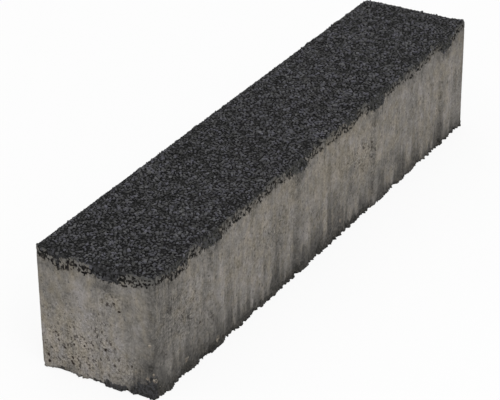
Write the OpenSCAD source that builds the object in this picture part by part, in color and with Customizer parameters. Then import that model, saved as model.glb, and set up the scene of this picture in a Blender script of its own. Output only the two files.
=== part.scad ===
// A long-format concrete paving brick, pressed in one mould: a grey core mix
// with a dark facing mix pressed wet on wet onto it, which makes one solid.
// Spacer nibs on its sides keep the joint open. They sit off centre, so they
// slip in between the nibs of the next brick, and a half turn changes nothing.
// The origin is the middle of the bed face, X runs along the brick and Z is up.

/* [Body] */
// Length of the brick, without its nibs
brick_l = 398; // [150:1:600]
// Width of the brick, without its nibs
brick_w = 78; // [60:1:200]
// Thickness of the brick, from its bed face to its wearing face
brick_h = 80; // [50:1:140]
// Radius of the four upright corners
corner_r = 4; // [1:0.5:10]

/* [Facing] */
// Depth of the dark facing mix at the sides
facing_t = 10; // [5:0.5:20]
// Radius of the arris round the wearing face
arris_r = 3; // [0.5:0.5:4.5]

/* [Spacer nibs] */
// How far a nib stands out
nib_t = 1.5; // [0.5:0.25:3]
// Width of a nib at its root
nib_w = 17; // [10:0.5:20]
// Run of the slope on each side of a nib
nib_slope = 2.5; // [0.5:0.25:4]
// Height from the wearing face down to the nibs' tops
nib_drop = 6; // [5:0.5:30]
// Distance from one nib to the next along the sides
nib_pitch = 100; // [40:1:200]
// Distance that the nibs along a side are shifted off its middle
side_nib_shift = 17.5; // [10:0.5:20]
// Distance that the nib on an end is shifted off its middle
end_nib_shift = 10.5; // [10:0.5:20]

/* [Hidden] */

$fn = 64;
core_colour = [0.48, 0.46, 0.43];
facing_colour = [0.20, 0.20, 0.21];

// The distances between the upright corners' centres.
centres_l = brick_l - 2 * corner_r;
centres_w = brick_w - 2 * corner_r;

// The arris turns inside the upright corners, so it stays smaller than they are.
least_land = 0.25;
arris = min(arris_r, corner_r - least_land);

// The core mix ends and the facing mix begins here.
core_h = brick_h - facing_t;

// A nib reaches this far into the body, so that it is one with it.
nib_root = 1;
nib_h = brick_h - nib_drop;
nib_face_w = nib_w - 2 * nib_slope;

// As many nibs as the straight of a side has room for.
side_nib_reach = (centres_l - nib_w) / 2 - side_nib_shift;
side_nibs = floor(2 * side_nib_reach / nib_pitch) + 1;
side_nibs_x = [for (i = [0 : side_nibs - 1]) side_nib_shift + (i - (side_nibs - 1) / 2) * nib_pitch];
end_nib_y = -min(end_nib_shift, (centres_w - nib_w) / 2);

// A nib on a face that looks towards -Y: upright from the bed face, with sloped
// sides and a sloped top, and open downwards so that the mould lifts off it.
module spacer_nib() {
    intersection() {
        linear_extrude(nib_h)
            polygon([
                [-nib_w / 2, nib_root], [-nib_w / 2, 0], [-nib_face_w / 2, -nib_t],
                [nib_face_w / 2, -nib_t], [nib_w / 2, 0], [nib_w / 2, nib_root]
            ]);
        rotate([90, 0, 90])
            linear_extrude(nib_w, center = true)
                polygon([
                    [nib_root, 0], [nib_root, nib_h], [0, nib_h],
                    [-nib_t, nib_h - nib_t], [-nib_t, 0]
                ]);
    }
}

// The nibs of the side that faces -Y and of the end that faces -X.
module half_the_nibs() {
    for (x = side_nibs_x)
        translate([x, -brick_w / 2, 0]) spacer_nib();
    translate([-brick_l / 2, end_nib_y, 0])
        rotate(-90) spacer_nib();
}

// The rim of the brick in section: X from 0 at a corner's centre to corner_r at
// the side, Y from the bed face up to the wearing face with its rounded arris.
module rim_section() {
    difference() {
        square([corner_r, brick_h]);
        translate([corner_r - arris, brick_h - arris])
            difference() {
                square(arris);
                circle(arris);
            }
    }
}

// The rim along the side that faces -Y, between two corners.
module straight_rim(along, across) {
    translate([-along / 2, -across / 2, 0])
        rotate([90, 0, 90])
            mirror([1, 0, 0])
                linear_extrude(along) rim_section();
}

// The rim's quarter turn at the corner towards +X and +Y.
module corner_rim(along, across) {
    translate([along / 2, across / 2, 0])
        rotate_extrude(angle = 90) rim_section();
}

// What the mould gives the brick: its rounded block and its nibs.
module moulded_form() {
    linear_extrude(brick_h) square([centres_l, centres_w], center = true);
    for (half_turn = [0, 180]) rotate(half_turn) {
        straight_rim(centres_l, centres_w);
        rotate(90) straight_rim(centres_w, centres_l);
        corner_rim(centres_l, centres_w);
        rotate(90) corner_rim(centres_w, centres_l);
        half_the_nibs();
    }
}

// The layer of the moulded form between two heights.
module layer(from_z, to_z) {
    intersection() {
        moulded_form();
        translate([0, 0, from_z])
            linear_extrude(to_z - from_z)
                square([brick_l + 2 * nib_t, brick_w + 2 * nib_t], center = true);
    }
}

module core_mix() {
    color(core_colour) layer(0, core_h);
}

module facing_mix() {
    color(facing_colour) layer(core_h, brick_h);
}

module paving_brick() {
    core_mix();
    facing_mix();
}

paving_brick();
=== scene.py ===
# A dark-faced concrete paving brick: the pressed block with its streaked sides,
# and the basalt grit that shows on its wearing face. Everything is in metres,
# apart from the lists of spots on the sides, which are in millimetres.
import math
import random

import bmesh
import bpy
import numpy as np
from mathutils import Matrix, Vector, noise


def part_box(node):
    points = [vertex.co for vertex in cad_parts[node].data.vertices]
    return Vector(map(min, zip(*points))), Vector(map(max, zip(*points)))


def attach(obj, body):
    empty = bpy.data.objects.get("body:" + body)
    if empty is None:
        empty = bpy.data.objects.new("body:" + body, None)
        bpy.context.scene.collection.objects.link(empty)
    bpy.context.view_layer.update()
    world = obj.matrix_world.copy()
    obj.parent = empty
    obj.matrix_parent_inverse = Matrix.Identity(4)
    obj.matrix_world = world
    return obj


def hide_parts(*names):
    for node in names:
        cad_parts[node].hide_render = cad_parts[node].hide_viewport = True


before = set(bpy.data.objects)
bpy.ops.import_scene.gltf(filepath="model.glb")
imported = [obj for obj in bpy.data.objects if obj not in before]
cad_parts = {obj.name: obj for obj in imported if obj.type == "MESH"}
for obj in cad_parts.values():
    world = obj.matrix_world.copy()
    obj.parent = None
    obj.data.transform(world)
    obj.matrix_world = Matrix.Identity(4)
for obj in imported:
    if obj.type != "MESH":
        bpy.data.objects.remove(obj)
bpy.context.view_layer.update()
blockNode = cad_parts["paving_brick"]
blockLow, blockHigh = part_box("paving_brick")
topZ = blockHigh.z
mm = 0.001

nibThickness = 1.5 * mm  # the nibs are all that reaches the frame's box at the sides
sideX = blockHigh.x - nibThickness  # the plain part of the ends
sideY = blockHigh.y - nibThickness  # the plain part of the long sides


def smooth(low, high, value):  # 0 at low, 1 at high and soft in between
    part = min(max((value - low) / (high - low), 0.0), 1.0)
    return part * part * (3 - 2 * part)


def wobble(place, size, seed=0.0):  # soft noise, mostly from -1 to 1, in lumps of this size
    moved = Vector((place.x / size + seed, place.y / size - seed, place.z / size + 2 * seed))
    return 1.8 * noise.noise(moved)


def streak(place, width, length, seed=0.0):  # the same kind of noise, drawn out upright
    moved = Vector((place.x / width + seed, place.y / width - seed, place.z / length + seed))
    return 1.8 * noise.noise(moved)


def isOnEnd(place):  # on one of the two short sides, corners included
    return abs(place.x) > sideX - 3 * mm


def putInScene(name, content):
    made = bpy.data.objects.new(name, content)
    bpy.context.scene.collection.objects.link(made)
    return made


def finished(mesh, material):  # makes a piece of the brick, which is named as its mesh is
    mesh.materials.append(material)
    piece = putInScene(mesh.name, mesh)
    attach(piece, "root")
    return piece


def paint(red, green, blue):  # a colour as a screen shows it, from 0 to 255
    def linear(value):
        value /= 255
        return value / 12.92 if value < 0.04045 else ((value + 0.055) / 1.055) ** 2.4
    return (linear(red), linear(green), linear(blue), 1.0)


class Wire:  # a node's output, which can be used in sums
    def __init__(self, shade, socket):
        self.shade = shade
        self.socket = socket

    def __add__(self, other):
        return self.shade.sum("ADD", self, other)

    def __radd__(self, other):
        return self.shade.sum("ADD", other, self)

    def __sub__(self, other):
        return self.shade.sum("SUBTRACT", self, other)

    def __rsub__(self, other):
        return self.shade.sum("SUBTRACT", other, self)

    def __mul__(self, other):
        return self.shade.sum("MULTIPLY", self, other)

    def __rmul__(self, other):
        return self.shade.sum("MULTIPLY", other, self)

    def __truediv__(self, other):
        return self.shade.sum("DIVIDE", self, other)

    def __rtruediv__(self, other):
        return self.shade.sum("DIVIDE", other, self)

    def __pow__(self, other):
        return self.shade.sum("POWER", self, other)

    def __rpow__(self, other):
        return self.shade.sum("POWER", other, self)


class Shade:  # one material and its nodes
    def __init__(self, owner):  # a new material's name, or the world
        self.material = bpy.data.materials.new(owner) if isinstance(owner, str) else owner
        self.material.use_nodes = True
        self.tree = self.material.node_tree
        self.tree.nodes.clear()

    def node(self, kind, settings=None, sockets=None, output=0):
        made = self.tree.nodes.new("ShaderNode" + kind)
        for name, value in (settings or {}).items():
            if name == "stops":
                self.fillRamp(made.color_ramp, value)
            else:
                setattr(made, name, value)
        for name, value in (sockets or {}).items():
            if isinstance(value, Wire):
                self.tree.links.new(value.socket, made.inputs[name])
            else:
                made.inputs[name].default_value = value
        return Wire(self, made.outputs[output]) if made.outputs else None

    def fillRamp(self, ramp, stops):
        while len(ramp.elements) < len(stops):
            ramp.elements.new(0.5)
        for element, (at, colour) in zip(ramp.elements, stops):
            element.position = at
            element.color = colour

    def sum(self, operation, first, second=0.0):
        return self.node("Math", {"operation": operation}, {0: first, 1: second})

    def span(self, value, low, high, to=(0.0, 1.0), kind="SMOOTHSTEP"):  # low..high becomes to
        return self.node(
            "MapRange", {"interpolation_type": kind},
            {"Value": value, "From Min": low, "From Max": high, "To Min": to[0], "To Max": to[1]},
        )

    def mix(self, amount, under, over, blend="MIX"):
        settings = {"data_type": "RGBA", "blend_type": blend, "clamp_factor": True}
        return self.node("Mix", settings, {0: amount, 6: under, 7: over}, output=2)

    def tinted(self, colour, light, bleach=0.0):  # a colour made lighter or darker by a value round 1
        blue = light + bleach * self.sum("MAXIMUM", light - 1, 0.0)  # what is pale is less yellow
        grey = self.node("CombineColor", {}, {0: light, 1: light, 2: blue})
        return self.mix(1.0, colour, grey, "MULTIPLY")

    def place(self, width=1.0, depth=1.0, height=1.0):  # Object coordinates over these millimetres
        coordinates = self.node("TexCoord", output="Object")
        scale = (1 / (width * mm), 1 / (depth * mm), 1 / (height * mm))
        return self.node("VectorMath", {"operation": "MULTIPLY"}, {0: coordinates, 1: scale})

    def fog(self, place, detail=2.0, roughness=0.5, offset=0.0):  # noise from 0 to 1
        moved = self.node("VectorMath", {"operation": "ADD"}, {0: place, 1: (offset, -offset, 2 * offset)})
        return self.node(
            "TexNoise", {"noise_dimensions": "3D"},
            {"Vector": moved, "Scale": 1.0, "Detail": detail, "Roughness": roughness},
        )

    def cells(self, place):  # how far the nearest grain is, and two values of that grain's own
        grain = self.node("TexVoronoi", {}, {"Vector": place, "Scale": 1.0}, output="Color")
        values = [self.node("SeparateColor", {}, {"Color": grain}, output=channel) for channel in (0, 1)]
        return [Wire(self, grain.socket.node.outputs["Distance"])] + values

    def painted(self, name):  # a value that the mesh carries
        return self.node("Attribute", {"attribute_name": name}, output="Fac")

    def bumped(self, height, distance, strength):
        return self.node("Bump", {}, {"Height": height, "Distance": distance, "Strength": strength})

    def finish(self, colour, roughness, normal, specular):
        shader = self.node("BsdfPrincipled", {}, {
            "Base Color": colour, "Roughness": roughness, "Specular IOR Level": specular, "Normal": normal,
        })
        self.node("OutputMaterial", {}, {"Surface": shader})
        return self.material


block = {
    "grid": 2.5 * mm,  # faces of the top and the bed, and the sides' are half of that
    "bandStep": 13 * mm,  # this far down, the sides' faces are a quarter of that
    "footStep": 3.6 * mm,  # and this far up from the bed
    "arrisDepth": 3.5 * mm,  # the wearing face turns into the sides above this depth
    "matrixDrop": 1.4 * mm,  # the facing's binder lies this far below its grit
    "facingDepth": 9.9 * mm,
    "facingWobble": 1.2 * mm,
    "bareDepth": 4.3 * mm,  # down to here the grit is bare, and below it skin half covers the pits
    "pitDepth": 1.0 * mm,
    "biteHeight": 1.3 * mm,  # of the bites out of the foot
    "biteDepth": 0.6 * mm,
    "burrWidth": 0.9 * mm,  # of the burrs that the mould squeezed out there
    "cakeHeight": 3.4 * mm,  # of the dark fines that cake the bed's edge on the long sides
    "cakeFade": 3.6 * mm,
    "fibreReach": 10.0,  # millimetres up from the bed in which the fines' streaks fade there
}

# Each list below gives the spots of the front, by their place along x, and those of the left end, by
# their place along y. Heights are above the bed.

# Where the facing reaches further down and is bare: place, half width, extra depth.
facingLobes = {
    "front": [(-136, 10, 0.8), (-36, 11, 0.8), (65.5, 11.5, 1.6), (166.5, 9.5, 0.3)],
    "end": [(-9.5, 10.8, 0.2)],
}

# Where the skin reaches higher up over the facing, or less high below 0: place, half width, height.
skinPatches = {
    "front": [
        (-190, 12, 2.5), (-170, 12, -5.5), (-68, 13, 3.5), (-10, 10, 3), (30, 10, -2), (46, 7, 2.5),
        (150, 9, 3), (194, 14, 8),
    ],
    "end": [(-37, 7, 4), (-32, 12, 3), (25, 5, -2.2), (37, 9, 6)],
}

# Where the caked fines at the bed stand higher: place, half width, height.
fineCakes = {
    "front": [
        (-166, 17, 7.5), (-134, 14, 8), (-36, 14, 8), (-11, 12, 7), (14, 8, 5), (49, 7, 6), (124, 8, 1.5),
        (160, 5, 5.5), (184, 8, 4.5),
    ],
    "end": [(-41, 22, 18.5), (-11, 14, 6), (16.5, 4, 1)],
}

# Streaks of fines that rise from the bed: place, half width, and reach, which stays in millimetres.
risingStreaks = {
    "front": [
        (-195, 12, 24), (-157, 17, 19), (-134, 8, 22), (-119, 6, 22), (-96.5, 3, 30), (-63, 3.5, 32),
        (-36, 11, 24), (-13, 13, 22), (3.5, 4, 42), (13, 10, 20), (49, 7, 20), (72, 9, 25), (100, 5, 22),
        (124, 9, 20), (160, 6, 21), (184, 10, 14),
    ],
    "end": [(-35.8, 16, 22), (-9, 3, 24)],
}

# Where the bed's fines are washed off: place, half width, share of their reach.
washedSpots = {
    "front": [
        (-89, 14, 0.45), (28, 9, 0.2), (50, 20, 0.35), (69, 10, 0.3), (92, 14, 0.25), (188, 22, 0.35),
    ],
}

# Broad tones, paler above 0 and darker below: place, height, half width, half height, tone.
broadTones = {
    "front": [
        (-198.5, 45, 48, 80, -0.32), (-172, 55, 2.4, 24, -0.3), (-169, 55, 10, 20, -0.09),
        (-162, 32, 3.4, 16, -0.42), (-160, 14, 24, 10, 0.22), (-146, 42, 5, 12, -0.2),
        (-136, 67, 8, 5, -0.2), (-129, 43, 12, 22, 0.44), (-129, 60, 9, 13, 0.09),
        (-119, 14, 3.4, 14, -0.25), (-90, 50, 44, 34, 0.04), (-89.5, 45, 9, 44, -0.08),
        (-89, 14, 11, 18, 0.2), (-50, 30, 10, 16, 0.12), (-36, 67, 9, 6, -0.3), (-30, 24, 11, 12, 0.42),
        (-30, 45, 9, 26, 0.09), (-3, 62, 2.5, 16, -0.2), (10, 62, 10, 14, -0.12), (11, 30, 14, 22, -0.14),
        (31, 35, 12, 34, -0.28), (50, 34, 8, 14, -0.12), (61.5, 32, 5, 22, -0.2),
        (64.5, 64, 5, 11, -0.35), (69, 36, 8, 9, 0.3), (70, 40, 9, 30, 0.08), (75, 22, 46, 17, -0.22),
        (91, 19, 11, 9, -0.18), (100, 23, 15, 9, -0.2), (109, 47, 8, 8, 0.22), (109, 60, 10, 16, 0.08),
        (110, 45, 44, 40, 0.07), (129, 30, 10, 22, 0.25), (131, 64, 3, 18, -0.2), (143, 9, 20, 5, -0.1),
        (149, 13, 9, 5, -0.1), (150, 18, 9, 16, -0.12), (167, 67, 10, 5, -0.25), (172, 40, 14, 44, 0.32),
    ],
    "end": [
        (-38, 20, 6, 9, -0.15), (-37, 31, 4, 14, 0.22), (-35, 22.5, 9, 7, -0.6), (-31, 38, 5, 8, -0.2),
        (-31, 42, 9, 34, 0.12), (-31, 58, 5, 9, 0.25), (-25, 40, 18, 50, -0.02), (-24, 34, 4, 9, -0.06),
        (-21.5, 8, 7, 10, -0.2), (-18, 19, 5, 8, 0.15), (-15, 26, 9, 18, 0.16), (-14, 58, 4, 6, -0.06),
        (-12, 43, 9, 7, 0.14), (-9.5, 67, 11, 6.5, -0.44), (-6, 17, 4, 5, 0.14), (-6, 39, 6, 9, 0.14),
        (-2, 40, 54, 110, 0.12), (0, 12.5, 4.5, 4.5, 0.12), (0, 56, 4, 9, -0.16), (1, 3, 5, 6, 0.2),
        (1, 62, 7, 9, -0.16), (3, 36, 9, 34, 0.14), (8, 6, 44, 9, -0.1), (10.5, 45, 5, 60, 0.16),
        (12, 37, 4, 6, 0.12), (12, 63, 5, 9, -0.1), (18, 21, 6, 9, -0.1), (18, 24, 7, 12, -0.12),
        (27, 55, 15, 24, -0.25), (30, 17.5, 5, 5, -0.16), (30, 20, 16, 24, 0.12), (30, 38, 7, 9, -0.16),
        (37, 3, 8, 8, 0.3),
    ],
}

# Upright strips on the end with sharp sides, like the broad tones.
endPanels = {
    "end": [
        (-38, 46, 4.2, 22, -0.09), (-26.8, 46, 7, 18, -0.16), (-17.6, 42, 2.2, 18, 0.09),
        (-9, 62, 9.5, 7, -0.06), (7.5, 60, 5.8, 12, 0.03),
    ],
}

# Porous, sandy patches: place, height, half width, half height, strength.
porousSpots = {
    "front": [
        (-165, 40, 30, 30, 0.45), (-70, 45, 45, 20, 0.25), (46, 43, 30, 18, 0.8), (120, 45, 40, 20, 0.2),
    ],
    "end": [(-24, 14, 14, 16, 0.8), (-12, 59, 10, 8, 1.3), (-5, 35, 14, 34, 0.5), (14, 18, 48, 38, 1)],
}

# Pale stones bared in the sides, most of them near the bed: place, height, radius.
bareStones = {
    "front": [(-197.5, 12.5, 2.8), (-165.5, 9, 3.6), (-134.5, 6, 3.4), (18, 10, 2.4)],
    "end": [
        (-38.5, 16.8, 2.4), (-36.2, 36, 1.7), (-34.5, 13.9, 2.2), (-32.4, 58, 1.5), (-26.6, 16, 2.6),
        (-16.8, 29, 1.7),
    ],
}

# Single deep pits: place, height, radius.
deepPits = {
    "front": [(-185.7, 23.6, 1.8), (-149.9, 25.4, 2), (-127.2, 4.3, 2.6)],
    "end": [
        (-23.8, 18.3, 2.1), (-17.8, 52.6, 1.9), (-14.6, 57.2, 2.1), (-7.4, 24.8, 1.9), (5.4, 9.7, 1.9),
        (16.2, 7.3, 2.3), (16.6, 11.3, 2.1), (21, 16.3, 1.8), (27, 25, 1.9), (31, 13.6, 2), (33, 4, 2.4),
        (33.4, 8.1, 2.2),
    ],
}


def onSides(spots, lengths):  # spots as x, y and values in metres, the first so many of which are lengths
    placed = []
    for side, rows in spots.items():
        for along, *values in rows:
            x, y = (along * mm, -sideY) if side == "front" else (-sideX, along * mm)
            placed.append((x, y, *[value * mm for value in values[:lengths]], *values[lengths:]))
    return placed


def roundSpots(spots, strength):  # stones or pits, which are as high as they are wide
    return [(x, y, z, radius, radius, strength) for x, y, z, radius in onSides(spots, 2)]


def hiddenStreaks():  # the two sides behind get their own, scattered
    picks = random.Random(11)
    streaks = []
    cakes = []
    x = -0.195
    while x < 0.19:
        x += picks.uniform(10, 26) * mm
        streaks.append((x, sideY, picks.uniform(4, 12) * mm, picks.uniform(14, 36)))
        cakes.append((x + 5 * mm, sideY, picks.uniform(5, 12) * mm, picks.uniform(4, 9) * mm))
    streaks += [(sideX, 0.031, 15 * mm, 24), (sideX, -0.014, 6 * mm, 16)]
    cakes += [(sideX, 0.040, 22 * mm, 10 * mm), (sideX, -0.013, 11 * mm, 4 * mm)]
    return streaks, cakes


def hiddenPores():
    picks = random.Random(4)
    spots = [(sideX, -0.01, 0.045, 20 * mm, 20 * mm, 0.8)]
    for _ in range(7):
        size = picks.uniform(12, 34) * mm
        spots.append((picks.uniform(-0.18, 0.18), sideY, picks.uniform(20, 60) * mm, size, size * 0.6, 0.9))
    return spots


def everySpot():  # the spots of all four sides, by what they are
    streaks, cakes = hiddenStreaks()
    lobes = onSides(facingLobes, 2)
    return {
        "lobes": lobes + [(-x, -y, width, depth) for x, y, width, depth in lobes],  # over all the nibs
        "skin": onSides(skinPatches, 2),
        "cakes": onSides(fineCakes, 2) + cakes,
        "streaks": onSides(risingStreaks, 1) + streaks,
        "washed": onSides(washedSpots, 1),
        "tones": onSides(broadTones, 3),
        "panels": onSides(endPanels, 3),
        "pores": onSides(porousSpots, 3) + hiddenPores(),
        "stones": roundSpots(bareStones, 0.85),
        "pits": roundSpots(deepPits, 0.78),
    }


def nearest(place, spots):  # the closeness, from 0 to 1, and the value of each spot that reaches here
    for x, y, reach, value in spots:
        aside = 2.0 if abs(x) >= sideX else 1.0  # what an end has fades twice as fast round the corner
        away = math.hypot(aside * (place.x - x), place.y - y) / reach
        if away < 1:
            yield 1 - away, value


def patchSum(place, spots):  # the sum of the amounts of the spots that reach here
    total = 0.0
    for x, y, z, width, height, amount in spots:
        if abs(x) >= sideX:
            along, off = place.y - y, abs(place.x - x)
        else:
            along, off = place.x - x, abs(place.y - y)
        off = 10 * max(off - nibThickness, 0)  # so that a spot hardly reaches round a corner
        away = math.hypot(math.hypot(along, off) / width, (place.z - z) / height)
        total += amount * smooth(1, 0, away)
    return total


def panelSum(place, panels):
    total = 0.0
    for x, y, z, width, height, amount in panels:
        if abs(place.x - x) < 4 * mm:
            sides = smooth(width + 0.6 * mm, width - 0.6 * mm, abs(place.y - y))
            total += amount * sides * smooth(height + 9 * mm, height - 9 * mm, abs(place.z - z))
    return total


def nibFaces():  # the middle and half width of each front nib's outer face, from the frame's block
    corners = [vert.co for vert in blockNode.data.vertices]
    ends = sorted({round(corner.x, 5) for corner in corners if abs(corner.y - blockLow.y) < 0.01 * mm})
    return [((first + last) / 2, (last - first) / 2) for first, last in zip(ends[::2], ends[1::2])]


def nibPaintedLight(place, faces):  # pales each nib's one flank and darkens its face and its other flank: painted highlight and painted shade
    tone = 0.0
    for middle, half in faces:
        side = place.x - middle if place.y < 0 else -middle - place.x
        if abs(side) < half + 4 * mm and abs(place.y) > sideY - 1 * mm:
            # painted highlight on the flank past the face's one end, painted shade on the face and on the
            # other flank
            tone += 0.3 * smooth(1.6 * mm, 0.3 * mm, abs(side - half - 1.2 * mm))
            tone -= 0.07 * smooth(half + 0.5 * mm, half - 2 * mm, abs(side))
            tone -= 0.12 * smooth(2.5 * mm, 0.6 * mm, abs(side + half + 1.2 * mm))
    return tone


def cutBlock():  # a copy of the frame's block, cut into a grid
    bm = bmesh.new()
    bm.from_mesh(blockNode.data)
    bmesh.ops.remove_doubles(bm, verts=bm.verts, dist=0.01 * mm)
    bmesh.ops.dissolve_limit(bm, angle_limit=math.radians(1), verts=bm.verts, edges=bm.edges)
    for axis in range(3):
        count = round((blockHigh[axis] - blockLow[axis]) / block["grid"])
        normal = Vector([float(axis == other) for other in range(3)])
        for cut in range(1, count):
            at = blockLow[axis] + (blockHigh[axis] - blockLow[axis]) * cut / count
            everything = bm.verts[:] + bm.edges[:] + bm.faces[:]
            bmesh.ops.bisect_plane(bm, geom=everything, dist=0.3 * mm, plane_co=normal * at, plane_no=normal)
    return bm


def halveFaces(bm, shortest, chosen):  # cuts the upright faces' edges that are longer than this
    edges = {
        edge
        for face in bm.faces if abs(face.normal.z) < 0.3 and chosen(face.calc_center_median().z)
        for edge in face.edges if edge.calc_length() > shortest
    }
    bmesh.ops.subdivide_edges(bm, edges=list(edges), cuts=1, use_grid_fill=True)


def needsFineFaces(height):  # true in the band of the facing and at the foot
    return height > topZ - block["bandStep"] or height < block["footStep"]


def bandAt(place, spots):  # the facing on the sides: how bare it is, and how pitted
    drop = topZ - place.z
    along = Vector((place.x, place.y, 0))
    waves = wobble(along, 8 * mm, 3.1) + 0.7 * wobble(along, 2.6 * mm, 7.7)
    uneven = 1.6 if isOnEnd(place) else 1.0  # the facing's lower limit is rougher on the ends
    depth = block["facingDepth"] + block["facingWobble"] * uneven * (waves + 0.3 * (uneven - 1))
    bare = block["bareDepth"] + 2.3 * mm * wobble(along, 4.5 * mm, 1.3)
    lobed = 0.0
    for close, extra in nearest(place, spots["lobes"]):
        lobe = smooth(0.0, 0.35, close + 0.12 * wobble(place, 3 * mm, 6.5))
        lobed = max(lobed, lobe)
        depth += (block["facingDepth"] + extra - depth) * 0.7 * lobe
        bare += (depth + 0.5 * mm - bare) * lobe
    for close, rise in nearest(place, spots["skin"]):
        bare -= rise * smooth(0.0, 0.4, close)
        depth -= 0.5 * rise * smooth(0.0, 0.4, close)

    lumps = 0.8 * wobble(place, 4 * mm, 9.0) + 0.6 * wobble(place, 1.5 * mm, 2.0)
    openness = smooth(-0.4, 0.4, (bare - drop) / (2.4 * mm) + lumps)
    soft = (0.5 + 1.0 * lobed) * mm
    ragged = (0.3 + 0.9 * lobed) * mm * wobble(place, 1.5 * mm, 3.0)
    within = smooth(-soft, soft, depth - drop + ragged)

    tall = Vector((place.x, place.y, place.z * 0.75))
    holes = 0.7 * wobble(tall, 1.7 * mm, 5.0) + 0.8 * wobble(tall, 0.9 * mm, 1.0)
    holes += 0.3 * wobble(along, 6 * mm, 6.0) + 0.2 * smooth(0.4, 0.95, drop / depth) + 0.12 - 0.1 * uneven
    pitted = within * smooth(0.0, 0.14, holes)
    return openness * within, pitted * (1 - openness)


def footMove(place, normal):  # the ragged lower edge: bites, and burrs that the mould squeezed out
    near = smooth(3.6 * mm, 0.4 * mm, place.z)
    lift = 0.5 * mm if isOnEnd(place) else 0.0
    flare = 0.7 * mm * smooth(sideX + 5 * mm, 0.1, abs(place.x))  # of the long sides, away from the corners
    flare *= smooth(sideY - 3 * mm, sideY, abs(place.y))
    along = Vector((place.x, place.y, 0))
    ragged = wobble(along, 9 * mm, 2.0) + 1.1 * wobble(along, 3 * mm, 7.0)
    ragged += 0.9 * wobble(place, 1.4 * mm, 4.0)
    bite = max(0.0, ragged - 0.05)
    burr = max(0.0, -ragged - 0.05)
    side = Vector((normal.x, normal.y, 0)).normalized()
    outward = flare + block["burrWidth"] * burr - block["biteDepth"] * bite
    return near * (side * outward + Vector((0, 0, lift + block["biteHeight"] * bite)))


def cakeAt(place, spots):  # how much dark fines cake the side here
    along = Vector((place.x, place.y, 0))
    if isOnEnd(place):  # the ends stay clean but for the patches
        height, fade, lumps = -2.6 * mm, 1.2 * mm, wobble(place, 3 * mm, 8.8)
    else:
        height = block["cakeHeight"] * (1 - 0.9 * smooth(0.04, 0.09, place.x))
        fade, lumps = block["cakeFade"], streak(place, 1.9 * mm, 4 * mm, 8.8)
    for close, extra in nearest(place, spots["cakes"]):
        height = max(height, extra * min(1.1 * close, 1.0))
    height += 1.2 * mm * wobble(along, 4 * mm, 4.4)
    height += 1.8 * mm * lumps
    return smooth(fade, -fade, place.z - height)


def reachAt(place, spots):  # how many millimetres the fines' streaks rise here
    reach = block["fibreReach"] * math.exp(0.9 * streak(place, 4 * mm, 26 * mm, 5.0))
    if isOnEnd(place):
        reach = 1.2
    reach *= 0.72 + 0.5 * smooth(0.1, -0.1, place.x)
    for close, height in nearest(place, spots["streaks"]):
        reach = max(reach, smooth(0, 0.6, close) * height)
    for close, share in nearest(place, spots["washed"]):
        reach *= 1 - share * smooth(0, 0.6, close)
    return reach


def poresAt(place, spots):
    porous = min(1.0, patchSum(place, spots["pores"]) + (0.12 if isOnEnd(place) else 0.25))
    darkStrip = max(0.0, -panelSum(place, spots["panels"]))
    return porous * (1 - min(1.0, 5 * darkStrip))  # a dark strip is smooth


def wearingFace(place, normal, spots):  # the looks of a point on the top, and how far it sinks in
    bare = 1.0
    skinned = smooth(0.8, 0.6, normal.z + 0.25 * wobble(place, 3 * mm, 2.5))
    if skinned:
        bare -= skinned * (1 - bandAt(place, spots)[0])
    return {"facing": bare}, (block["matrixDrop"] * smooth(0.2, 0.8, normal.z) + 0.3 * mm) * bare


def pressedSide(place, spots, nibs):  # the same for a point on a side
    drop = topZ - place.z
    inBand = drop < block["bandStep"]
    bare, pit = bandAt(place, spots) if inBand else (0.0, patchSum(place, spots["pits"]))
    looks = {
        "facing": bare,
        "pit": pit,
        "reach": reachAt(place, spots),
        "cake": cakeAt(place, spots),
        "porous": poresAt(place, spots),
        "stone": min(1.0, patchSum(place, spots["stones"])),
        "drag": 0.5 if isOnEnd(place) else 1 + 0.2 * smooth(-0.165, -0.19, place.x),
    }
    # the nibs' share of this tone is painted highlight and painted shade
    looks["tone"] = patchSum(place, spots["tones"]) + panelSum(place, spots["panels"]) + nibPaintedLight(place, nibs)
    looks["tone"] -= 0.13 * smooth(19 * mm, 9 * mm, drop)
    inward = block["pitDepth"] * pit + 0.35 * mm * bare * (1 + 0.5 * wobble(place, 1.4 * mm, 6.0))
    inward += 0.03 * mm * (1.6 + streak(place, 1.6 * mm, 35 * mm, 2.0))
    inward += 0.07 * mm * looks["porous"] * wobble(place, 3 * mm, 8.0)
    inward += 0.35 * mm * looks["cake"] * max(0.0, wobble(place, 2 * mm, 5.5)) - 0.2 * mm * looks["stone"]
    return looks, inward


def bedFace(place):  # the same for a point on the bed face
    pit = smooth(0.3, 0.8, wobble(place, 2.6 * mm, 1.5))
    looks = {"pit": pit, "reach": 60.0, "porous": 0.8, "cake": 0.25 + 0.25 * wobble(place, 25 * mm, 5.0)}
    return looks, 0.3 * mm * (1 + 0.5 * wobble(place, 3 * mm, 3.0)) + 0.5 * block["pitDepth"] * pit


def shapeBlock(bm):
    spots = everySpot()
    nibs = nibFaces()
    names = ("facing", "pit", "reach", "cake", "tone", "porous", "stone", "drag")
    layers = {name: bm.verts.layers.float.new(name) for name in names}
    bm.normal_update()
    moves = []
    for vert in bm.verts:
        place, normal = vert.co.copy(), vert.normal.copy()
        move = Vector((0, 0, 0))
        if topZ - place.z < block["arrisDepth"] and normal.z > 0.25:
            looks, inward = wearingFace(place, normal, spots)
        elif normal.z > -0.8:
            looks, inward = pressedSide(place, spots, nibs)
            move = footMove(place, normal)
        else:
            looks, inward = bedFace(place)
        inward += 0.12 * mm + 0.06 * mm * wobble(place, 30 * mm) + 0.035 * mm * wobble(place, 2.5 * mm, 4.0)
        moves.append(move - normal * inward)
        for name, value in looks.items():
            vert[layers[name]] = value
    for vert, move in zip(bm.verts, moves):
        vert.co += move
        for axis in range(3):
            vert.co[axis] = min(max(vert.co[axis], blockLow[axis]), blockHigh[axis])


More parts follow.
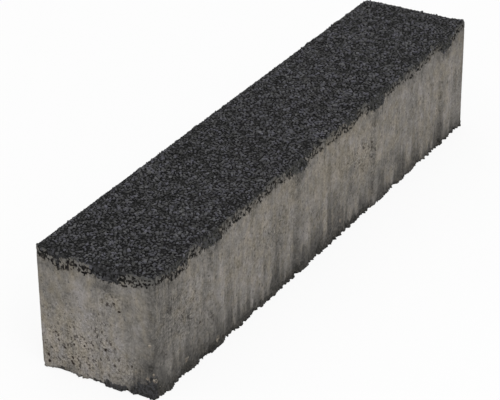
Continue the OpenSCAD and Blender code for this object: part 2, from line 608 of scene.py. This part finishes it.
def blockMaterial():
    shade = Shade("pressedConcrete")
    bare, pit, tone, stone = (shade.painted(name) for name in ("facing", "pit", "tone", "stone"))
    reach, cake, porous, drag = (shade.painted(name) for name in ("reach", "cake", "porous", "drag"))
    height = shade.node("SeparateXYZ", {}, {"Vector": shade.place()}, output="Z")  # in millimetres
    topHeight = topZ / mm
    onLong = shade.span(drag, 0.6, 0.9)  # 1 on the long sides, 0 on the ends
    lower = shade.span(height, 62.0, 6.0)

    drift = shade.fog(shade.place(55, 55, 55), detail=1.0, offset=4.0)
    clouds = shade.fog(shade.place(11, 11, 13), detail=4.0, roughness=0.9)
    warmth = shade.fog(shade.place(5, 5, 7), detail=3.0, offset=5.0)
    drags = shade.fog(shade.place(1.5, 1.5, 26), detail=3.0, roughness=0.7)
    broadDrags = shade.fog(shade.place(4.5, 4.5, 34), detail=1.0, offset=8.0)
    hairs = shade.fog(shade.place(0.75, 0.75, 16), detail=1.0, offset=3.0)
    sand = shade.fog(shade.place(1.3, 1.3, 1.3), detail=3.0, roughness=0.8)
    crumbs = shade.fog(shade.place(2.4, 2.4, 2.4), detail=2.0, offset=11.0)
    ragged = shade.fog(shade.place(2.6, 2.6, 7), detail=3.0, roughness=0.7, offset=7.0)
    _, grain, otherGrain = shade.cells(shade.place(1.25, 1.25, 1.4))
    pockDistance, pockLuck, pockSize = shade.cells(shade.place(2.6, 2.6, 3.0))

    # The core mix, from grey to beige, with its drag marks, sand and pores.
    greyed = 0.12 * lower - 0.6 * shade.sum("MINIMUM", tone, 0.0)
    warm = 1.1 * (warmth - 0.5) + 0.6 * (drift - 0.5) + 0.3 * (broadDrags - 0.5) + 0.1 * porous
    beige = shade.span(warm - greyed, -0.26, 0.3)
    colour = shade.mix(beige, paint(123.8, 120.2, 115.5), paint(130, 123.3, 111.6))
    light = 1 + tone + 1.9 * (clouds - 0.5) + 0.25 * (drift - 0.5)
    light += drag * ((0.62 - 0.2 * lower) * (drags - 0.5) + 0.4 * (hairs - 0.5))
    light += drag * (0.5 - 0.25 * lower) * (broadDrags - 0.5)
    light += (0.7 + 2.3 * porous) * (sand - 0.5) + (0.12 + 0.2 * porous) * (grain - 0.5)
    colour = shade.tinted(colour, light, bleach=0.2)
    colour = shade.mix(shade.span(grain, 0.9, 0.97) * (0.1 + 0.6 * porous), colour, paint(158, 153, 143))
    pores = shade.span(otherGrain, 0.13, 0.06) * shade.span(sand, 0.6, 0.46) * (0.1 + 0.7 * porous)
    pocks = shade.span(pockDistance, 0.42, 0.26) * shade.span(pockLuck + 0.15 * porous, 0.86, 0.92)
    pocks *= shade.span(pockSize, 0.0, 0.6, (0.4, 1.0)) * (0.2 + 0.8 * porous)
    pores = shade.sum("MAXIMUM", pores, pocks)
    colour = shade.mix(pores, colour, paint(46, 39, 35))

    # The fines that rise from the bed in streaks, and those that cake the foot.
    fibres = 0.3 * drags + 0.2 * hairs + 0.2 * broadDrags + 0.3 * ragged
    fibres = shade.span(fibres, 0.42, 0.58, (0.6, 1.45), "LINEAR")
    fade = shade.sum("EXPONENT", -1.0 * (height / (reach * fibres)) ** 2.1)
    fade *= 0.86 + 1.1 * (sand - 0.5) + 0.4 * (grain - 0.5) + 0.5 * (crumbs - 0.5)
    fines = shade.mix(shade.span(sand, 0.4, 0.6), paint(44, 43, 42), paint(66, 65, 63))
    colour = shade.mix(fade, colour, fines)
    cakePale = shade.mix(onLong, paint(64, 64, 66), paint(68, 66, 62))
    cakeGrain = shade.span(0.6 * sand + 0.2 * grain + 0.2 * crumbs, 0.4, 0.62)
    caked = cake + 1.2 * (sand - 0.5) + 0.5 * (grain - 0.5) + 1.8 * (crumbs - 0.5) + 0.7 * (drags - 0.5)
    caked = shade.span(caked, 0.25, 0.75, (0.0, 0.94))
    colour = shade.mix(caked, colour, shade.mix(cakeGrain, paint(34, 34, 33), cakePale))
    bared = shade.span(stone + 1.5 * (sand - 0.5) + 0.6 * (otherGrain - 0.5), 0.35, 0.65, (0.0, 0.85))
    stoneColour = shade.mix(shade.span(crumbs, 0.42, 0.58), paint(118, 108, 97), paint(160, 152, 140))
    colour = shade.mix(bared, colour, stoneColour)

    # The facing: skin over it, bare dark grit that the mould smeared, its binder, and pits. On the top the
    # binder is near black: its own dark colour and painted shade in the gaps between the chips.
    skin = shade.span(height, topHeight - 10, topHeight - 3)
    colour = shade.mix(0.55 * skin, colour, paint(84, 84, 82))
    rubbed = shade.span(height, topHeight - 1.5, topHeight - 3.5)
    smeared = shade.mix(onLong, paint(61, 61, 63), paint(72, 72, 69))
    smeared = shade.mix(rubbed, paint(22, 22, 22), smeared)
    # near black on the top: the binder's own dark colour and painted shade in the deep gaps between the
    # chips
    binderAndGapShade = shade.mix(rubbed, paint(7, 7, 7), paint(20, 20, 19))
    facing = shade.mix(shade.span(0.5 * sand + 0.5 * crumbs, 0.42, 0.58), binderAndGapShade, smeared)
    colour = shade.mix(shade.span(bare + 0.5 * (sand - 0.5), 0.3, 0.7), colour, facing)
    pitGrain = shade.span(0.4 * warmth + 0.6 * crumbs, 0.42, 0.6)
    pitColour = shade.mix(pitGrain, paint(25, 25, 24), paint(57, 54, 51))
    inFacing = shade.span(height, 62.0, 66.0)
    pitColour = shade.mix(inFacing, paint(46, 38, 33), pitColour)  # browner in the core mix
    pitted = shade.span(pit + 0.9 * (sand - 0.5) + 0.15 * (grain - 0.5), 0.32, 0.55)
    colour = shade.mix(pitted, colour, pitColour)
    bump = shade.bumped(sand + 0.25 * grain - 0.7 * pores + 0.4 * hairs, 0.4 * mm, 0.9)
    return shade.finish(colour, 0.85, bump, 0.12)


print("cutting the block")
bm = cutBlock()
halveFaces(bm, 0.6 * block["grid"], lambda height: True)
halveFaces(bm, 0.3 * block["grid"], needsFineFaces)
print("shaping the block:", len(bm.faces), "faces")
shapeBlock(bm)
blockMesh = bpy.data.meshes.new("brick_block")
bm.to_mesh(blockMesh)
bm.free()
blockMesh.shade_smooth()
brickBlock = finished(blockMesh, blockMaterial())
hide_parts("paving_brick")


grit = {
    "sizes": [("coarse", 2.5 * mm, 7400), ("middle", 1.8 * mm, 5600), ("fine", 1.2 * mm, 3600)],
    "shapes": 24,  # different chips, laid again and again
    "tries": 5,  # throws for each chip
    "crowding": 0.72,  # how near two chips may come, in their radii
    "edgeRadius": 3 * mm,  # chips by the edge stay within this round
    "clump": 4 * mm,  # chips lie in clumps of about this size, with dark gaps between
}


def chipShapes():  # jagged chips of radius 1, as points and triangles
    picks = random.Random(5)
    shapes = []
    for _ in range(grit["shapes"]):
        bm = bmesh.new()
        bmesh.ops.create_icosphere(bm, subdivisions=1, radius=1.0)
        for vert in bm.verts:
            vert.co *= picks.uniform(0.6, 1.2)
        shapes.append(np.array([vert.co[:] for vert in bm.verts]))
        triangles = np.array([[vert.index for vert in face.verts] for face in bm.faces])
        bm.free()
    return shapes, triangles


def bareGround():  # the block's triangles where the facing is bare, with their normals and running areas
    mesh = brickBlock.data
    mesh.calc_loop_triangles()
    points = np.empty(len(mesh.vertices) * 3)
    mesh.vertices.foreach_get("co", points)
    bare = np.empty(len(mesh.vertices))
    mesh.attributes["facing"].data.foreach_get("value", bare)
    picked = np.empty(len(mesh.loop_triangles) * 3, dtype=int)
    mesh.loop_triangles.foreach_get("vertices", picked)
    picked = picked.reshape(-1, 3)
    picked = picked[bare[picked].mean(axis=1) > 0.6]
    corners = points.reshape(-1, 3)[picked]
    normals = np.cross(corners[:, 1] - corners[:, 0], corners[:, 2] - corners[:, 0])
    lengths = np.linalg.norm(normals, axis=1)
    return corners, normals / lengths[:, None], np.cumsum(lengths)


def crowds(x, y, z, radius, others):  # whether a chip here would come too near one of the others
    for otherX, otherY, otherZ, otherRadius in others:
        room = grit["crowding"] * (radius + otherRadius)
        if (x - otherX) ** 2 + (y - otherY) ** 2 + (z - otherZ) ** 2 < room ** 2:
            return True
    return False


def throwGrit():  # places chips of each size where there is room, big ones first
    picks = np.random.default_rng(3)
    corners, normals, running = bareGround()
    cell = grit["sizes"][0][1] * 1.3  # chips that crowd each other are in the same cell or the next
    around = [(i, j, k) for i in (-1, 0, 1) for j in (-1, 0, 1) for k in (-1, 0, 1)]
    taken = {}
    lots = []
    for name, size, most in grit["sizes"]:
        lot = []
        throws = most * grit["tries"]
        places = np.minimum(np.searchsorted(running, picks.random(throws) * running[-1]), len(running) - 1)
        shares = picks.random((throws, 2))
        radii = size * picks.uniform(0.4, 0.6, throws)
        gaps = picks.uniform(-1.6, -0.7, throws)
        for which, (u, v), radius, gap in zip(places, shares, radii, gaps):
            if u + v > 1:
                u, v = 1 - u, 1 - v
            a, b, c = corners[which]
            x, y, z = a + u * (b - a) + v * (c - a)
            spot = Vector((x, y, z))
            clump = wobble(spot, grit["clump"], 5.0) + 0.7 * wobble(spot, 0.45 * grit["clump"], 3.0)
            if clump < gap:
                continue
            home = (int(x // cell), int(y // cell), int(z // cell))
            near = [taken.get((home[0] + i, home[1] + j, home[2] + k), ()) for i, j, k in around]
            if any(crowds(x, y, z, radius, others) for others in near):
                continue
            taken.setdefault(home, []).append((x, y, z, radius))
            lot.append(((x, y, z), normals[which], radius, clump))
        print("grit", name, len(lot))
        lots.append((name, lot))
    return lots


def unit(vectors):
    return vectors / np.linalg.norm(vectors, axis=1)[:, None]


def keptInside(laid):  # these points, pulled back inside the frame's box and its rounded upper edges
    laid = np.clip(laid, np.array(blockLow), np.array(blockHigh))
    core = np.array([sideX, sideY, topZ]) - grit["edgeRadius"]
    past = np.maximum(np.abs(laid) - core, 0)
    share = np.minimum(1, grit["edgeRadius"] / np.maximum(np.linalg.norm(past, axis=2), 1e-9))
    trimmed = np.sign(laid) * (np.abs(laid) - past * (1 - share[:, :, None]))
    return np.where(laid[:, :, 2:] > topZ - 5 * mm, trimmed, laid)


def layGrit(name, lot, shapes, triangles, material):  # joins one size of chips into one mesh
    picks = np.random.default_rng(len(lot))
    count = len(lot)
    spots, ups, radii, clumps = (np.array(values) for values in zip(*lot))
    flatness = np.clip(ups[:, 2], 0, 1)  # 1 on the wearing face, 0 on the sides

    # Each chip is tilted a little, turned about its upright, and drawn out.
    ups = unit(ups + picks.normal(0, 0.25, (count, 3)))
    guide = np.where(np.abs(ups[:, 2:3]) > 0.9, [[1.0, 0, 0]], [[0, 0, 1.0]])
    across = unit(np.cross(guide, ups))
    along = np.cross(ups, across)
    turn = picks.uniform(0, 2 * math.pi, (count, 1))
    first = np.cos(turn) * across + np.sin(turn) * along
    second = np.cross(ups, first)
    points = np.stack([shapes[index] for index in picks.integers(0, len(shapes), count)])
    longer = picks.uniform(1.0, 1.55, count)
    scale = np.stack([0.9 * longer, 0.9 * (2.25 - longer), picks.uniform(0.7, 1.0, count)], axis=1)
    scale *= radii[:, None]
    points = points * scale[:, None, :]
    laid = points[:, :, :1] * first[:, None] + points[:, :, 1:2] * second[:, None]
    laid += points[:, :, 2:] * ups[:, None]

    # It stands proud by its luck, less near the edge, and its top is cut level.
    high = np.clip(0.5 + 0.4 * clumps + picks.uniform(-0.3, 0.3, count), 0, 1)
    edge = np.minimum(sideX - np.abs(spots[:, 0]), sideY - np.abs(spots[:, 1])) / (7 * mm)
    proud = (0.12 + 0.28 * high) * (1 - flatness) + (0.25 + 0.85 * high * np.clip(edge, 0.1, 1)) * flatness
    rise = points[:, :, 2]
    level = np.minimum(rise - 0.8 * scale[:, 2:], 0) + proud[:, None] * mm
    laid += ups[:, None] * (level - rise)[:, :, None] + spots[:, None]
    laid = keptInside(laid)

    faces = (triangles[None] + (np.arange(count) * points.shape[1])[:, None, None]).reshape(-1, 3)
    mesh = bpy.data.meshes.new(name)
    mesh.from_pydata(laid.reshape(-1, 3).tolist(), [], faces.tolist())
    # Each chip's shade is its own random tone, made darker where it sits low in a clump and where it is
    # small and so sits deeper: painted shade, with some dirt on the small ones. It is also darker on the
    # sides than on the wearing face.
    shades = np.clip(0.5 + 0.26 * clumps + picks.uniform(-0.38, 0.38, count), 0, 1)
    shades *= np.clip(0.35 + 0.65 * radii / (1.0 * mm), 0, 1) * (0.72 + 0.28 * flatness)
    shadeLayer = mesh.attributes.new("shade", "FLOAT", "POINT")
    shadeLayer.data.foreach_set("value", np.repeat(shades, points.shape[1]))
    finished(mesh, material)


def gritMaterial():
    shade = Shade("basaltGrit")
    # each chip's tone, with the painted shade of its low and small chips
    chipToneAndShade = shade.painted("shade")
    speckle = shade.fog(shade.place(0.9, 0.9, 0.9), detail=3.0, roughness=0.7)
    drift = shade.fog(shade.place(7, 7, 7), detail=3.0, roughness=0.8, offset=2.0)
    hue = shade.fog(shade.place(2.5, 2.5, 2.5), detail=1.0, offset=6.0)
    colour = shade.node("ValToRGB", {"stops": [
        (0.0, paint(14, 14, 14)), (0.25, paint(34, 34, 34)), (0.5, paint(58, 58, 60)),
        (0.8, paint(74, 74, 79)), (1.0, paint(82, 82, 86)),
    ]}, {"Fac": chipToneAndShade})
    tint = shade.mix(shade.span(hue, 0.4, 0.6), (0.94, 0.93, 1.0, 1.0), (0.98, 0.98, 0.9, 1.0))
    colour = shade.mix(1.0, colour, tint, "MULTIPLY")
    colour = shade.tinted(colour, 1 + 1.2 * (speckle - 0.5) + 1.5 * (drift - 0.5))
    return shade.finish(colour, 0.7, shade.bumped(speckle, 0.12 * mm, 0.6), 0.4)


print("laying the grit")
shapes, triangles = chipShapes()
gritStone = gritMaterial()
for sizeName, lot in throwGrit():
    layGrit("facing_grit_" + sizeName, lot, shapes, triangles, gritStone)


studio = {
    "floorSize": 6.0,
    "skyStrength": 0.8,
    "whiteness": 0.88,  # share of the floor that shows plain white under its shadow
    "lampPlace": (-0.9, -0.9, 1.5),
    "lampSize": 1.0,
    "lampPower": 10,
    "azimuth": -59.24,  # the camera's turn, in degrees
    "elevation": 28.78,
    "roll": -0.57,
    "distance": 1.3004,
    "aside": -0.01469,  # what the camera is shifted by, across its view
    "above": 0.01986,
    "lens": 146.67,
}


def seenDirectly(shade):  # 1 on rays from the camera, mirrors and glass
    path = shade.node("LightPath").socket.node
    names = ("Is Camera Ray", "Is Glossy Ray", "Is Transmission Ray")
    camera, glossy, transmission = (Wire(shade, path.outputs[name]) for name in names)
    return shade.sum("MINIMUM", camera + glossy + transmission, 1.0)


def makeFloor():
    bm = bmesh.new()
    bmesh.ops.create_grid(bm, x_segments=1, y_segments=1, size=studio["floorSize"] / 2)
    mesh = bpy.data.meshes.new("floor")
    bm.to_mesh(mesh)
    bm.free()
    shade = Shade("paleFloor")
    matte = shade.node("BsdfDiffuse", {}, {"Color": paint(245, 245, 245)})
    glow = shade.node("Emission", {}, {"Color": (1, 1, 1, 1), "Strength": 1.0})
    both = shade.node("MixShader", {}, {0: studio["whiteness"] * seenDirectly(shade), 1: matte, 2: glow})
    shade.node("OutputMaterial", {}, {"Surface": both})
    mesh.materials.append(shade.material)
    floor = putInScene("floor", mesh)
    floor.location.z = -0.1 * mm


def makeSky():
    world = bpy.data.worlds.new("softSky")
    shade = Shade(world)
    strength = studio["skyStrength"] + (1 - studio["skyStrength"]) * seenDirectly(shade)
    sky = shade.node("Background", {}, {"Color": (1, 1, 1, 1), "Strength": strength})
    shade.node("OutputWorld", {}, {"Surface": sky})
    bpy.context.scene.world = world


def makeLamp():
    light = bpy.data.lights.new("keyLamp", "AREA")
    light.size = studio["lampSize"]
    light.energy = studio["lampPower"]
    lamp = putInScene("keyLamp", light)
    lamp.location = studio["lampPlace"]
    aim = Vector((0, 0, 0.04)) - lamp.location
    lamp.rotation_euler = aim.to_track_quat("-Z", "Y").to_euler()


def makeCamera():
    lens = bpy.data.cameras.new("camera")
    lens.lens = studio["lens"]
    lens.sensor_width = 36
    camera = putInScene("camera", lens)
    turn = Matrix.Rotation(math.radians(studio["azimuth"]), 4, "Z")
    turn @= Matrix.Rotation(math.radians(90 - studio["elevation"]), 4, "X")
    turn @= Matrix.Rotation(math.radians(studio["roll"]), 4, "Z")
    camera.matrix_world = turn @ Matrix.Translation((studio["aside"], studio["above"], studio["distance"]))
    bpy.context.scene.camera = camera


print("floor, light and camera")
makeFloor()
makeSky()
makeLamp()
makeCamera()
bpy.context.scene.view_settings.view_transform = "Standard"
